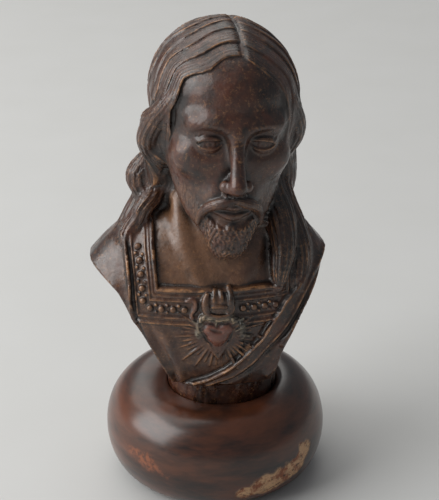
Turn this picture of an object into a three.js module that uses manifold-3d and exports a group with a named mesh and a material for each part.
// A devotional bust on a round base: bearded head with long parted hair, robe with a square studded
// neckline, mantle, and a flaming heart in rays on the breast. The stem of the bust sits in a shallow
// socket in the top of the base. Millimetres, +Z up, the figure looks towards -Y, and the origin is
// at the centre of the underside.
import * as THREE from "three";
import { mergeVertices } from "three/addons/utils/BufferGeometryUtils.js";
import Module from "manifold-3d";

const wasm = await Module();
wasm.setup();

// Driving dimensions of the round base
const baseDiameter = 104;
const baseHeight = 46;
const footDiameter = 76;
const girthHeight = 22;
const crestDiameter = 66;
const dishDepth = 2;

// Driving dimensions of the bust
const shoulderWidth = 108;
const headHeight = 88;
const headCentreHeight = 177;
const headShift = 4.5;
const headSetback = 4;
const headBow = 5;
const headLean = 4;
const headTurn = 5;
const stemWidth = 51;
const stemDepth = 49;
const stemShift = 3;
const stemSetback = -1.5;

// Fit of the stem in the base
const seatDepth = 3;
const seatClearance = 0.3;

// Fineness of the carved skin
const sidesRound = 52;
const frontCrowding = 0.45;
const baseSides = 32;

const seatTop = baseHeight - dishDepth;
const stemFoot = seatTop - seatDepth + seatClearance;

// Free forms are given in hundredths: of the shoulder width for the torso, of the head's height for the head
const torsoUnit = shoulderWidth / 100;
const headUnit = headHeight / 100;

const headCentre = new THREE.Vector3(headShift, -headSetback, headCentreHeight);
const headPose = new THREE.Matrix4()
  .makeRotationFromEuler(
    new THREE.Euler(
      THREE.MathUtils.degToRad(headBow),
      THREE.MathUtils.degToRad(headLean),
      THREE.MathUtils.degToRad(headTurn),
      "ZYX",
    ),
  )
  .setPosition(headCentre);
const intoHead = headPose.clone().invert();

// Signed distances, negative inside, and the ways they are joined

function join(a, b, soft) {
  const near = Math.max(soft - Math.abs(a - b), 0) / soft;
  return Math.min(a, b) - (near * near * soft) / 4;
}

function trim(a, b, soft) {
  return -join(-a, -b, soft);
}

function hollow(a, b, soft) {
  return trim(a, -b, soft);
}

function ellipsoid([x, y, z], [cx, cy, cz], [rx, ry, rz]) {
  const [dx, dy, dz] = [(x - cx) / rx, (y - cy) / ry, (z - cz) / rz];
  const reach = Math.hypot(dx, dy, dz);
  const slope = Math.hypot(dx / rx, dy / ry, dz / rz);
  return slope > 0 ? (reach * (reach - 1)) / slope : -Math.min(rx, ry, rz);
}

// A tapering roll along a chain of [x, y, z, radius]
function roll([x, y, z], chain) {
  let nearest = Infinity;
  for (let i = 1; i < chain.length; i++) {
    const [ax, ay, az, ar] = chain[i - 1];
    const [bx, by, bz, br] = chain[i];
    const [ux, uy, uz] = [bx - ax, by - ay, bz - az];
    const [vx, vy, vz] = [x - ax, y - ay, z - az];
    const along = (ux * vx + uy * vy + uz * vz) / (ux * ux + uy * uy + uz * uz);
    const t = Math.min(1, Math.max(0, along));
    const gap = Math.hypot(vx - t * ux, vy - t * uy, vz - t * uz);
    nearest = Math.min(nearest, gap - ar - t * (br - ar));
  }
  return nearest;
}

function joinAll(start, point, forms) {
  let d = start;
  for (const { centre, radii, chain, soft } of forms) {
    const form = chain ? roll(point, chain) : ellipsoid(point, centre, radii);
    d = join(d, form, soft);
  }
  return d;
}

function mirrored([x, y, z]) {
  return [Math.abs(x), y, z];
}

// The head, in hundredths of its height: eyes at 0, chin at -50, crown at 50
const skull = [
  { name: "cranium", centre: [0, 5, 12], radii: [31, 39, 34], soft: 1 },
  { name: "face", centre: [0, -10, -12], radii: [25.5, 26, 36], soft: 8 },
  { name: "jaw", centre: [0, -16, -31], radii: [18.5, 20, 18], soft: 6 },
  { name: "mouth mound", centre: [0, -31, -30], radii: [13, 8.5, 12], soft: 5 },
  { name: "chin", centre: [0, -33, -43], radii: [8, 6.5, 7], soft: 5 },
];
const pairedFeatures = [
  { name: "cheekbone", centre: [18, -23, -9], radii: [8.5, 8.5, 7.5], soft: 5 },
  {
    name: "brow",
    chain: [
      [3, -33, 7.5, 2.6],
      [12, -33.5, 10, 2.6],
      [21.5, -27.5, 8, 2.4],
    ],
    soft: 6,
  },
];
const eyeSocket = { centre: [12.5, -39.5, 1], radii: [8.5, 7.5, 6], soft: 4 };
const eye = { centre: [12.5, -26.8, 0.5], radii: [7, 7, 7], soft: 1.5 };
const nose = [
  {
    name: "bridge",
    chain: [
      [0, -34.5, 7, 3],
      [0, -43, -11, 3.4],
      [0, -46.5, -16, 4],
    ],
    soft: 3,
  },
  {
    name: "nostril wings",
    chain: [
      [-5, -41.5, -18, 3.1],
      [0, -44, -18.5, 3],
      [5, -41.5, -18, 3.1],
    ],
    soft: 2,
  },
];
const mouth = [
  {
    name: "upper lip",
    chain: [
      [-10, -37, -31.2, 1.2],
      [0, -40.2, -29.6, 2.3],
      [10, -37, -31.2, 1.2],
    ],
    soft: 1.5,
  },
  {
    name: "lower lip",
    chain: [
      [-8, -37.2, -33, 1.3],
      [0, -39.6, -34.4, 2.6],
      [8, -37.2, -33, 1.3],
    ],
    soft: 1.5,
  },
];
const beard = [
  {
    name: "jaw beard",
    chain: [
      [25, -6, -10, 3.5],
      [23.5, -14, -26, 5.5],
      [16, -24, -40, 7.5],
      [6, -32, -49, 8],
    ],
    soft: 4,
  },
  {
    name: "chin tuft",
    chain: [
      [4, -37, -45, 6.5],
      [4.5, -37.5, -54, 5],
      [3, -36, -61, 2.4],
    ],
    soft: 3,
  },
  {
    name: "moustache",
    chain: [
      [1.5, -42.5, -24.5, 2.6],
      [7, -41, -27, 3.3],
      [12.5, -36.5, -32, 2.8],
      [15, -32.5, -39, 2],
    ],
    soft: 1.5,
  },
];

function face(q) {
  const pair = mirrored(q);
  let d = joinAll(Infinity, q, skull);
  d = joinAll(d, pair, pairedFeatures);
  d = hollow(d, ellipsoid(pair, eyeSocket.centre, eyeSocket.radii), eyeSocket.soft);
  d = joinAll(d, pair, [eye]);
  d = joinAll(d, q, nose);
  d = joinAll(d, q, mouth);
  return joinAll(d, pair, beard);
}

// Hair over the skull, cut away over the face
const hairCap = { centre: [0, 7, 10.5], radii: [37.5, 45, 34.8] };
const faceOpening = { centre: [0, -48, -16], radii: [24.5, 42, 49], soft: 6 };
const hairlineRoll = {
  chain: [
    [0.5, -29, 38, 5],
    [11, -30, 33, 6],
    [20.5, -27, 21, 6.5],
    [26.5, -21, 6, 6.5],
    [29, -14, -8, 6],
  ],
  soft: 5,
};
const curtains = [
  {
    name: "curtain on the figure's right",
    chain: [
      [-29, -10, 14, 8],
      [-31, -8, 0, 8.5],
      [-35, -3, -13, 9.5],
      [-34, 1, -24, 9],
      [-28, 6, -36, 7],
    ],
    soft: 5,
  },
  {
    name: "curtain on the figure's left",
    chain: [
      [29, -10, 12, 8],
      [30, -8, 0, 8.5],
      [28, -4, -14, 8.5],
      [27, 0, -28, 8.5],
      [27, 2, -42, 9],
    ],
    soft: 5,
  },
];
const nape = {
  chain: [
    [0, 16, 0, 30],
    [0, 14, -26, 27],
    [0, 12, -48, 25],
  ],
  soft: 8,
};

// Hair that leaves the head, in hundredths of the shoulder width above the top of the base
const fallingHair = [
  {
    name: "fall behind the figure's right shoulder",
    chain: [
      [-21, 9, 106, 8],
      [-25.5, 8, 97, 7.5],
      [-29, 7, 90, 7.5],
      [-29, 6, 79, 8],
      [-33, 6, 69, 8],
    ],
    soft: 4,
  },
  {
    name: "fall behind the figure's left shoulder",
    chain: [
      [25, 5, 106, 9],
      [25, 3, 94, 9],
      [24, 1, 86, 8.5],
      [28, 0, 79, 9],
      [31, 1, 70, 9],
    ],
    soft: 4,
  },
  {
    name: "mane down the back",
    chain: [
      [2, 14, 104, 20],
      [1, 14, 88, 20],
      [0, 16, 74, 18],
      [0, 20, 60, 13],
      [0, 21, 50, 7],
    ],
    soft: 8,
  },
  {
    name: "lock over the figure's right collarbone",
    chain: [
      [-24, -5, 91, 5],
      [-28, -10, 86, 4.8],
      [-32, -12, 79, 4.6],
      [-36, -12, 72, 3.8],
      [-38, -13, 66, 2.2],
    ],
    soft: 1.5,
  },
  {
    name: "inner lock over the figure's left collarbone",
    chain: [
      [22, -5, 96, 5],
      [24, -11, 88, 6],
      [28, -14, 78, 6],
      [27, -19, 68, 5],
      [24, -23, 60, 3],
      [25, -25, 55, 1.4],
    ],
    soft: 1.5,
  },
  {
    name: "middle lock over the figure's left shoulder",
    chain: [
      [27, -2, 93, 5],
      [31, -8, 84, 6],
      [35, -10, 74, 5.6],
      [35, -15, 65, 4.6],
      [32, -19, 57, 3],
      [33, -20, 51, 1.4],
    ],
    soft: 1.5,
  },
  {
    name: "outer lock over the figure's left shoulder",
    chain: [
      [30, 2, 86, 5],
      [37, -3, 77, 5],
      [42, -5, 68, 4.6],
      [41, -11, 60, 3.4],
      [38, -15, 53, 1.5],
    ],
    soft: 1.5,
  },
];

// Locks combed from the parting: carved as grooves that follow an angle round the head
const lockCount = 9;
const lockRelief = 2;
const waveAmount = 0.1;
const waveLength = 7.5;

function combedRelief([x, y, z]) {
  const [cx, cy, cz] = hairCap.centre;
  const [rx, ry, rz] = hairCap.radii;
  const drop = Math.max(z - cz, 0) / rz;
  const round = Math.atan2(Math.hypot((x - cx) / rx, drop), -(y - cy) / ry);
  const fallen = THREE.MathUtils.smoothstep(-z, -20, 30);
  const wave = waveAmount * fallen * Math.sin(z / waveLength + (x > 0 ? 1.3 : 0));
  const lock = Math.abs(Math.sin((round + wave) * lockCount));
  const parting = Math.exp(-((x / 3) ** 2)) * THREE.MathUtils.smoothstep(z, 15, 40);
  const frontOfCrown = THREE.MathUtils.smoothstep(-y, -22, -8);
  return lockRelief * (lock - 0.75) - 1.6 * parting * frontOfCrown;
}

function hair(q, t) {
  let d = ellipsoid(q, hairCap.centre, hairCap.radii);
  d = join(d, roll(mirrored(q), hairlineRoll.chain), hairlineRoll.soft);
  d = hollow(d, ellipsoid(q, faceOpening.centre, faceOpening.radii), faceOpening.soft);
  d = joinAll(d, q, curtains);
  d = joinAll(d, q, [nape]);
  const falling = joinAll(Infinity, t, fallingHair) * torsoUnit;
  return join(d * headUnit, falling, 3) - combedRelief(q) * headUnit;
}

// The torso, in hundredths of the shoulder width above the top of the base
const body = [
  { name: "breast", centre: [0, 2, 38], radii: [62, 30, 52], soft: 1 },
  { name: "figure's right shoulder", centre: [-38, 3, 42], radii: [24, 19, 17], soft: 8 },
  { name: "figure's left shoulder", centre: [34, 3, 45], radii: [22, 19, 18], soft: 8 },
  {
    name: "slope of the shoulders",
    chain: [
      [-52, 3, 48, 8],
      [-40, 5, 60, 9],
      [-24, 7, 67, 11],
      [0, 7, 76, 15],
      [24, 7, 67, 11],
      [37.5, 4, 56, 9.5],
    ],
    soft: 5,
  },
];
const neck = [
  {
    name: "throat",
    chain: [
      [2, -2, 70, 17],
      [3, -5, 84, 14.5],
      [4, -7, 100, 14.5],
    ],
    soft: 6,
  },
  {
    name: "neck cord on the figure's right",
    chain: [
      [-11, -8, 96, 3.5],
      [-6, -19, 76, 3.2],
      [-2, -24, 68, 2.6],
    ],
    soft: 3,
  },
  {
    name: "neck cord on the figure's left",
    chain: [
      [16, -8, 96, 3.5],
      [10, -19, 76, 3.2],
      [5, -24, 68, 2.6],
    ],
    soft: 3,
  },
];

// The arms are cut off along a line that leans in towards the stem, from the shoulder to the hem
const hemHeight = 10.5;
const cutRight = [
  [-53, 61],
  [-35, 39],
  [-20, 11],
];
const cutLeft = [
  [44.5, 61],
  [36, 46],
  [24, 11],
];

// Relief of the dress, raised towards -Y: the neckline's band, the bare skin inside it, and soft folds
const bandHalfWidth = 5.4;
const bandHalfHeight = 7;
const bandCentreX = 31.5;
const bandCentreZ = 50;
const bandRaise = 1.2;
const skinDepth = 1.4;
const folds = [
  {
    name: "fold under the band",
    line: [
      [-26, 40],
      [-20, 25],
      [-14, 12],
    ],
    width: 3.5,
    raise: 1.6,
  },
  {
    name: "fold at the figure's left side",
    line: [
      [40, 36],
      [32, 22],
      [21, 12],
    ],
    width: 4,
    raise: 1.8,
  },
];
const rolledEdges = [
  {
    name: "inner hem of the mantle",
    line: [
      [31, 57],
      [27, 48],
      [20.5, 39],
      [13.5, 30],
      [6, 21.5],
      [-2, 15.5],
      [-11, 11.5],
    ],
    radius: 1.5,
  },
  {
    name: "outer hem of the mantle",
    line: [
      [36, 48],
      [29, 35],
      [22, 27.5],
      [14, 21],
      [5, 15],
      [-3, 11.5],
    ],
    radius: 1.2,
  },
  {
    name: "edge of the mantle beside the band",
    line: [
      [-38.5, 69],
      [-39, 58],
      [-38.5, 47],
      [-34, 34],
      [-29, 24],
      [-23, 12],
    ],
    radius: 1.4,
  },
];

function distanceToLine(x, z, line) {
  let nearest = Infinity;
  for (let i = 1; i < line.length; i++) {
    const [ax, az] = line[i - 1];
    const [ux, uz] = [line[i][0] - ax, line[i][1] - az];
    const along = ((x - ax) * ux + (z - az) * uz) / (ux * ux + uz * uz);
    const t = Math.min(1, Math.max(0, along));
    nearest = Math.min(nearest, Math.hypot(x - ax - t * ux, z - az - t * uz));
  }
  return nearest;
}

// How far inside the neckline's square opening a point lies, past the middle of the band
function insideNeckline(x, z) {
  return Math.min(bandCentreX - Math.abs(x), ((z - bandCentreZ) * bandHalfWidth) / bandHalfHeight);
}

function breastRelief([x, y, z]) {
  if (y > 0) return 0;
  const inside = insideNeckline(x, z);
  const onBand = THREE.MathUtils.smoothstep(bandHalfWidth - Math.abs(inside), -0.8, 0.8);
  const skin = THREE.MathUtils.smoothstep(inside, bandHalfWidth - 0.8, bandHalfWidth + 0.8);
  let raised = bandRaise * onBand - skinDepth * skin;
  for (const { line, width, raise } of folds)
    raised += raise * Math.exp(-((distanceToLine(x, z, line) / width) ** 2));
  return raised;
}

function torso(t) {
  return joinAll(joinAll(Infinity, t, body) - breastRelief(t), t, neck) * torsoUnit;
}

const scratch = new THREE.Vector3();

function bustField(x, y, z) {
  scratch.set(x, y, z).applyMatrix4(intoHead).divideScalar(headUnit);
  const q = [scratch.x, scratch.y, scratch.z];
  const t = [x / torsoUnit, y / torsoUnit, (z - seatTop) / torsoUnit];
  const d = join(torso(t), face(q) * headUnit, 3);
  return join(d, hair(q, t), 1.2);
}

// The carved skin: a sphere's net, whose rings are drawn in along cones of rays until they meet the form

const farReach = shoulderWidth * 0.8;
const touch = 0.02;
const settlingPasses = 6;

// Over the head the rays spread from its centre; below the beard they level out, so that brow, nose
// and chin are met squarely. A fan is the height where its rays leave the axis, and their slope in degrees.
function rayFans() {
  const chest = seatTop + 59 * torsoUnit;
  const hem = seatTop + hemHeight * torsoUnit;
  const fans = [{ height: headCentreHeight, slope: 90 }];
  const spread = (count, height, slope) => {
    const from = fans[fans.length - 1];
    for (let i = 1; i <= count; i++)
      fans.push({
        height: THREE.MathUtils.lerp(from.height, height, i / count),
        slope: THREE.MathUtils.lerp(from.slope, slope, i / count),
      });
  };
  spread(9, headCentreHeight, 22);
  spread(22, headCentreHeight, -46);
  spread(8, chest, 0);
  spread(13, hem, 0);
  fans.push({ height: hem, slope: 0 });
  return fans;
}

function meet(origin, direction) {
  let reach = farReach;
  while (reach > touch) {
    const [x, y, z] = origin.map((start, axis) => start + direction[axis] * reach);
    const gap = bustField(x, y, z);
    if (gap < touch) return [x, y, z];
    reach -= Math.max(gap * 0.7, touch);
  }
  return origin;
}

function ontoForm(point) {
  const step = 0.2;
  const here = bustField(...point);
  const slope = point.map((_, axis) => {
    const beside = [...point];
    beside[axis] += step;
    return (bustField(...beside) - here) / step;
  });
  const steepness = Math.max(Math.hypot(...slope) ** 2, 0.25);
  return point.map((value, axis) => value - (here * slope[axis]) / steepness);
}

// Evens out the net: each point moves towards the middle of its neighbours, then back onto the form
function settle(rings) {
  const last = rings.length - 2;
  for (let pass = 0; pass < settlingPasses; pass++) {
    const before = rings.map((ring) => [...ring]);
    for (let ring = 1; ring < last; ring++)
      for (let side = 0; side < sidesRound; side++) {
        const around = [
          before[ring - 1][side],
          before[ring + 1][side],
          before[ring][(side + 1) % sidesRound],
          before[ring][(side + sidesRound - 1) % sidesRound],
        ];
        const middle = before[ring][side].map(
          (value, axis) => value * 0.4 + 0.15 * around.reduce((sum, point) => sum + point[axis], 0),
        );
        rings[ring][side] = ontoForm(middle);
      }
  }
}

function carveBust() {
  const fans = rayFans();
  const rings = fans.map(({ height, slope }, ring) => {
    const rise = THREE.MathUtils.smoothstep(height, seatTop, headCentreHeight);
    const origin = [THREE.MathUtils.lerp(stemShift, headShift, rise), -headSetback * rise, height];
    const tilt = THREE.MathUtils.degToRad(slope);
    return Array.from({ length: sidesRound }, (_, side) => {
      const turn = (2 * Math.PI * side) / sidesRound;
      const angle = turn + frontCrowding * Math.sin(turn);
      const level = ring === 0 ? 0 : Math.cos(tilt);
      const direction = [-Math.sin(angle) * level, Math.cos(angle) * level, Math.sin(tilt)];
      return ring === fans.length - 1 ? origin : meet(origin, direction);
    });
  });
  settle(rings);
  const net = new THREE.SphereGeometry(1, sidesRound, fans.length - 1);
  const position = net.getAttribute("position");
  rings.forEach((ring, row) => {
    for (let side = 0; side <= sidesRound; side++)
      position.setXYZ(row * (sidesRound + 1) + side, ...ring[side % sidesRound]);
  });
  return net;
}

// Joining and cutting closed geometries

function solidOf(geometry) {
  const bare = geometry.index ? geometry.toNonIndexed() : geometry.clone();
  for (const name of Object.keys(bare.attributes))
    if (name !== "position") bare.deleteAttribute(name);
  const merged = mergeVertices(bare, 1e-4);
  return new wasm.Manifold(
    new wasm.Mesh({
      numProp: 3,
      vertProperties: merged.getAttribute("position").array,
      triVerts: new Uint32Array(merged.index.array),
    }),
  );
}

function geometryOf(solid) {
  const { vertProperties, triVerts, numProp } = solid.getMesh();
  const points = new Float32Array((vertProperties.length / numProp) * 3);
  for (let i = 0; i < points.length / 3; i++)
    points.set(vertProperties.subarray(i * numProp, i * numProp + 3), i * 3);
  return new THREE.BufferGeometry()
    .setAttribute("position", new THREE.BufferAttribute(points, 3))
    .setIndex(new THREE.BufferAttribute(triVerts, 1));
}

// Where the breast's surface lies at an x and z given in hundredths of the shoulder width
function onBreast(x, z) {
  let y = -farReach / torsoUnit;
  while (y < 0) {
    const gap = torso([x, y, z]) / torsoUnit;
    if (gap < touch) return y;
    y += Math.max(gap * 0.6, touch);
  }
  return 0;
}

// A cord that follows the breast, half sunk in it
function cordOnBreast(line, radius) {
  const path = line.map(
    ([x, z]) => new THREE.Vector3(x * torsoUnit, onBreast(x, z) * torsoUnit, seatTop + z * torsoUnit),
  );
  const section = new THREE.Shape().absarc(0, 0, radius * torsoUnit, 0, 2 * Math.PI);
  const extrudePath = new THREE.CatmullRomCurve3(path);
  return new THREE.ExtrudeGeometry(section, { steps: line.length + 2, curveSegments: 2, extrudePath });
}

function neckline() {
  const outer = [-bandHalfWidth + 0.3, -bandHalfHeight + 0.3];
  const inner = [bandHalfWidth - 2.6, bandHalfHeight - 3.4];
  const edges = [];
  for (const [inX, inZ] of [outer, inner]) {
    const sideX = bandCentreX - inX;
    const lowZ = bandCentreZ + inZ;
    const upright = [0, 6, 12, 18].map((rise) => [-sideX, lowZ + rise]);
    const across = [-1, -0.6, -0.3].map((share) => [share * sideX, lowZ]);
    edges.push(cordOnBreast(upright, 0.7), cordOnBreast(across, 0.7));
    edges.push(cordOnBreast(across.map(([x, z]) => [-x * 0.85, z]), 0.7));
  }
  return edges;
}

function placed(geometry, x, z, sink, spin = 0) {
  return geometry
    .rotateY(spin)
    .scale(torsoUnit, torsoUnit, torsoUnit)
    .translate(x * torsoUnit, (onBreast(x, z) + sink) * torsoUnit, seatTop + z * torsoUnit);
}

// The heart, its flame and its rays, in hundredths of the shoulder width
const heartX = -1;
const heartZ = 39.5;
const heartWidth = 13;
const heartHeight = 12;
const heartDepth = 5;
const rayCount = 18;
const rayInner = 8;
const rayOuter = 17.5;
const rayWidth = 1.6;

function heart() {
  const w = heartWidth / 2;
  const h = heartHeight / 2;
  const outline = new THREE.Shape()
    .moveTo(0, -h)
    .bezierCurveTo(-w * 0.5, -h * 0.7, -w * 1.1, -h * 0.1, -w, h * 0.4)
    .bezierCurveTo(-w * 0.9, h * 1.1, -w * 0.2, h * 1.1, 0, h * 0.6)
    .bezierCurveTo(w * 0.2, h * 1.1, w * 0.9, h * 1.1, w, h * 0.4)
    .bezierCurveTo(w * 1.1, -h * 0.1, w * 0.5, -h * 0.7, 0, -h);
  const body = new THREE.ExtrudeGeometry(outline, {
    depth: heartDepth * 0.5,
    curveSegments: 4,
    bevelThickness: heartDepth * 0.4,
    bevelSize: heartDepth * 0.35,
    bevelOffset: -heartDepth * 0.35,
    bevelSegments: 2,
  });
  // An extrusion rises along +Z, and the heart rises towards -Y
  return placed(body.rotateX(Math.PI / 2), heartX, heartZ, heartDepth * 0.25);
}

function flameTongue(x, z, height, width, tilt) {
  const profile = [];
  const steps = 4;
  for (let i = 0; i <= steps; i++) {
    const rise = i / steps;
    const swell = Math.sin(Math.PI * Math.min(1, rise * 0.8 + 0.2)) * (1 - rise * rise * 0.3);
    profile.push(new THREE.Vector2(i === steps ? 0 : (width / 2) * swell, rise * height));
  }
  profile.unshift(new THREE.Vector2(0, 0));
  const tongue = new THREE.LatheGeometry(profile, 6).rotateX(Math.PI / 2);
  return placed(tongue, x, z, -0.3, tilt);
}

function thornRing() {
  const knots = 12;
  const path = [];
  for (let i = 0; i < knots; i++) {
    const turn = (i / knots) * 2 * Math.PI;
    const x = heartX + heartWidth * 0.6 * Math.cos(turn);
    const z = heartZ + heartHeight * 0.32 + 2.6 * Math.sin(turn);
    const lift = -2 - 1.6 * Math.max(0, -Math.sin(turn));
    path.push(
      new THREE.Vector3(
        x * torsoUnit,
        (onBreast(x, z) + lift) * torsoUnit,
        seatTop + z * torsoUnit,
      ),
    );
  }
  const section = new THREE.Shape().absarc(0, 0, 1.1 * torsoUnit, 0, 2 * Math.PI);
  const extrudePath = new THREE.CatmullRomCurve3(path, true);
  return new THREE.ExtrudeGeometry(section, { steps: 20, curveSegments: 2, extrudePath });
}

function ray(index) {
  const turn = (index / rayCount) * 2 * Math.PI;
  const reach = rayOuter * (index % 2 ? 0.82 : 1);
  const length = reach - rayInner;
  const middle = (reach + rayInner) / 2;
  const x = heartX + middle * Math.sin(turn);
  const z = heartZ + middle * Math.cos(turn);
  const bar = new THREE.CylinderGeometry(rayWidth * 0.35, rayWidth * 0.75, length, 4).rotateX(Math.PI / 2);
  return placed(bar, x, z, -0.1, turn);
}

function studsOnBand() {
  const pitch = 5.6;
  const stud = () => new THREE.SphereGeometry(1.9, 6, 4);
  const studs = [];
  for (let z = bandCentreZ; z < 74; z += pitch) studs.push(placed(stud(), -bandCentreX, z, 0));
  for (let x = bandCentreX - pitch; x > 10; x -= pitch) {
    studs.push(placed(stud(), -x, bandCentreZ, 0));
    studs.push(placed(stud(), x, bandCentreZ, 0));
  }
  return studs;
}

function emblem() {
  const flameZ = heartZ + heartHeight / 2 + 0.5;
  const tongues = [
    flameTongue(heartX - 5.4, flameZ, 13, 5.6, -0.1),
    flameTongue(heartX, flameZ, 15, 5.6, 0),
    flameTongue(heartX + 5.4, flameZ, 14, 5.6, 0.1),
  ];
  const rays = [];
  for (let index = 0; index < rayCount; index++) {
    const upright = Math.cos((index / rayCount) * 2 * Math.PI);
    if (upright < 0.75) rays.push(ray(index));
  }
  return [heart(), thornRing(), ...tongues, ...rays];
}

// What lies outside one of the two cut lines, from front to back
function offcut(line, side) {
  const extend = ([fromX, fromZ], [x, z], height) => [
    x + ((x - fromX) * (height - z)) / (z - fromZ),
    height,
  ];
  const above = extend(line[1], line[0], 90);
  const below = extend(line[1], line[2], 0);
  const outside = side * 95;
  const [start, ...rest] = [above, ...line, below, [outside, 0], [outside, 90]].map(
    ([x, z]) => new THREE.Vector2(x * torsoUnit, z * torsoUnit),
  );
  const outline = new THREE.Shape()
    .moveTo(start.x, start.y)
    .splineThru(rest.slice(0, 4))
    .lineTo(rest[4].x, rest[4].y)
    .lineTo(rest[5].x, rest[5].y);
  const block = new THREE.ExtrudeGeometry(outline, {
    depth: 2 * shoulderWidth,
    curveSegments: 3,
    bevelEnabled: false,
  });
  return block.rotateX(Math.PI / 2).translate(0, shoulderWidth, seatTop);
}

function belowHem() {
  const hem = seatTop + hemHeight * torsoUnit;
  return new THREE.BoxGeometry(2 * shoulderWidth, 2 * shoulderWidth, hem).translate(0, 0, hem / 2);
}

function stem() {
  const top = seatTop + (hemHeight + 6) * torsoUnit;
  return new THREE.CylinderGeometry(1, 1, top - stemFoot, baseSides)
    .rotateX(Math.PI / 2)
    .scale(stemWidth / 2, stemDepth / 2, 1)
    .translate(stemShift, stemSetback, (top + stemFoot) / 2);
}

function bust() {
  const edges = rolledEdges.map(({ line, radius }) => cordOnBreast(line, radius));
  const offcuts = [offcut(cutRight, -1), offcut(cutLeft, 1), belowHem()];
  let solid = solidOf(carveBust());
  for (const piece of [...edges, ...neckline()]) solid = solid.add(solidOf(piece));
  for (const piece of offcuts) solid = solid.subtract(solidOf(piece));
  for (const piece of [stem(), ...emblem(), ...studsOnBand()]) solid = solid.add(solidOf(piece));
  return geometryOf(solid);
}

// The base: a cushion-shaped turning, with a dish in its top and a socket for the stem

function quarterTurn(fromRadius, fromHeight, toRadius, toHeight, steps, startsUpright) {
  const points = [];
  for (let i = 1; i <= steps; i++) {
    const a = (i / steps) * (Math.PI / 2);
    const along = startsUpright ? 1 - Math.cos(a) : Math.sin(a);
    const up = startsUpright ? Math.sin(a) : 1 - Math.cos(a);
    points.push(
      new THREE.Vector2(
        fromRadius + (toRadius - fromRadius) * along,
        fromHeight + (toHeight - fromHeight) * up,
      ),
    );
  }
  return points;
}

function roundBase() {
  const [girth, foot, crest] = [baseDiameter / 2, footDiameter / 2, crestDiameter / 2];
  const dishRadius = Math.max(stemWidth, stemDepth) / 2;
  const profile = [
    new THREE.Vector2(0, 0),
    new THREE.Vector2(foot, 0),
    ...quarterTurn(foot, 0, girth, girthHeight, 5, false),
    ...quarterTurn(girth, girthHeight, crest, baseHeight, 6, true),
    ...quarterTurn(crest, baseHeight, Math.min(dishRadius, crest - 1), seatTop, 2, false),
    new THREE.Vector2(0, seatTop),
  ];
  const turning = solidOf(new THREE.LatheGeometry(profile, baseSides).rotateX(Math.PI / 2));
  const socket = new THREE.CylinderGeometry(1, 1, 2 * seatDepth, baseSides)
    .rotateX(Math.PI / 2)
    .scale(stemWidth / 2 + seatClearance, stemDepth / 2 + seatClearance, 1)
    .translate(stemShift, stemSetback, seatTop);
  return geometryOf(turning.subtract(solidOf(socket)));
}

function named(name, geometry, material) {
  const mesh = new THREE.Mesh(geometry, material);
  mesh.name = name;
  return mesh;
}

const bustFinish = new THREE.MeshStandardMaterial({ color: 0x3f2a22, roughness: 0.42, metalness: 0 });
const baseFinish = new THREE.MeshStandardMaterial({ color: 0x4a2b20, roughness: 0.38, metalness: 0 });

const statue = new THREE.Group();
statue.add(named("bust", bust(), bustFinish));
statue.add(named("round_base", roundBase(), baseFinish));

export default statue;
